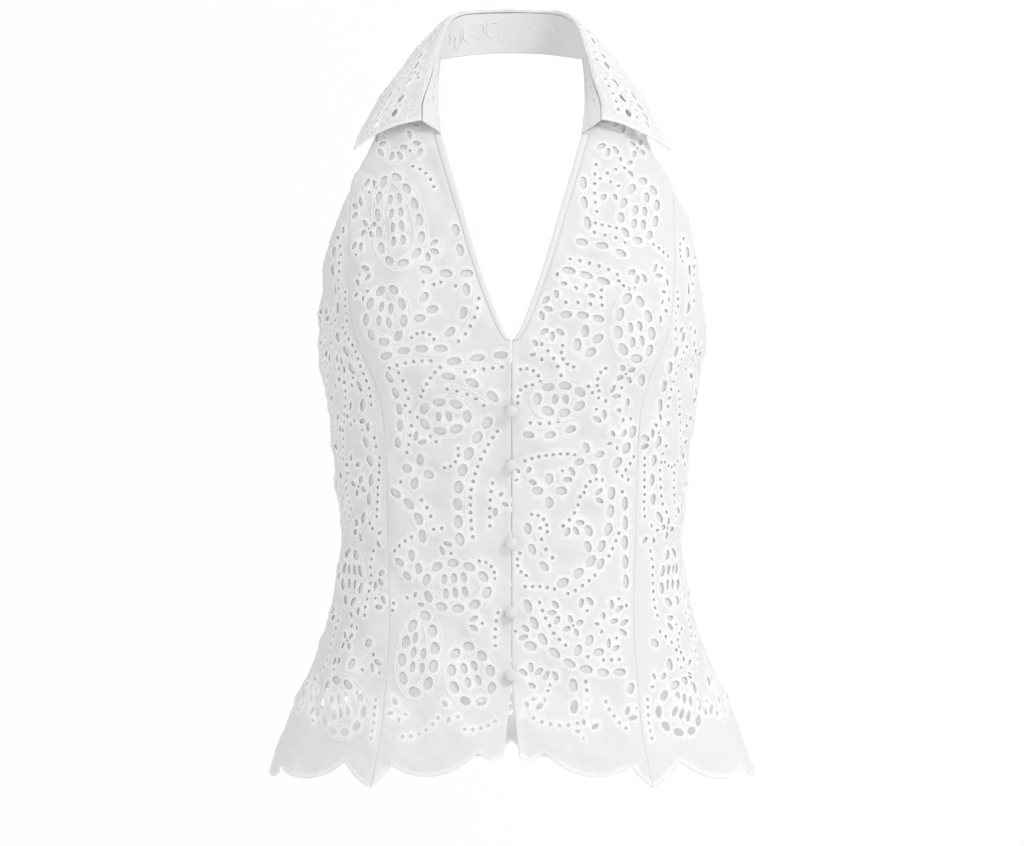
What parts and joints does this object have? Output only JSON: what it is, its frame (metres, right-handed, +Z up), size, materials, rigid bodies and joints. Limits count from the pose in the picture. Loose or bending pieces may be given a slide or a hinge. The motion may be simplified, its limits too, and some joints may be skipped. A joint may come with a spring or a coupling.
{
  "type": "halter neck top",
  "caption": "Hollow deep V halter top in white eyelet cotton with a pointed turn-down collar, a button front, princess seams and a scalloped hem.",
  "frame": {"origin": "inside centre back of the neckband, where the wearer's neck carries it", "axes": "+Z up the body, -Y out of the garment's front, +X to the right of the picture"},
  "size_m": [0.3722, 0.251, 0.5932],
  "materials": {
    "eyelet_cotton": "matt white cotton with openwork embroidery",
    "lining_cotton": "matt white plain woven cotton lining",
    "covered_trim": "white cotton covered buttons and rouleau loops"
  },
  "bodies": {
    "root": {"centre_front_right": "eyelet_cotton", "side_front_right": "eyelet_cotton", "neckline_binding_right": "eyelet_cotton", "centre_front_lining_right": "lining_cotton", "side_front_lining_right": "lining_cotton", "centre_front_left": "eyelet_cotton", "side_front_left": "eyelet_cotton", "neckline_binding_left": "eyelet_cotton", "centre_front_lining_left": "lining_cotton", "side_front_lining_left": "lining_cotton", "centre_back": "eyelet_cotton", "side_back_right": "eyelet_cotton", "side_back_left": "eyelet_cotton", "collar_stand": "eyelet_cotton", "collar_leaf": "eyelet_cotton", "button_1": "covered_trim", "button_loop_1": "covered_trim", "button_2": "covered_trim", "button_loop_2": "covered_trim", "button_3": "covered_trim", "button_loop_3": "covered_trim", "button_4": "covered_trim", "button_loop_4": "covered_trim", "button_5": "covered_trim", "button_loop_5": "covered_trim"}
  },
  "joints": []
}
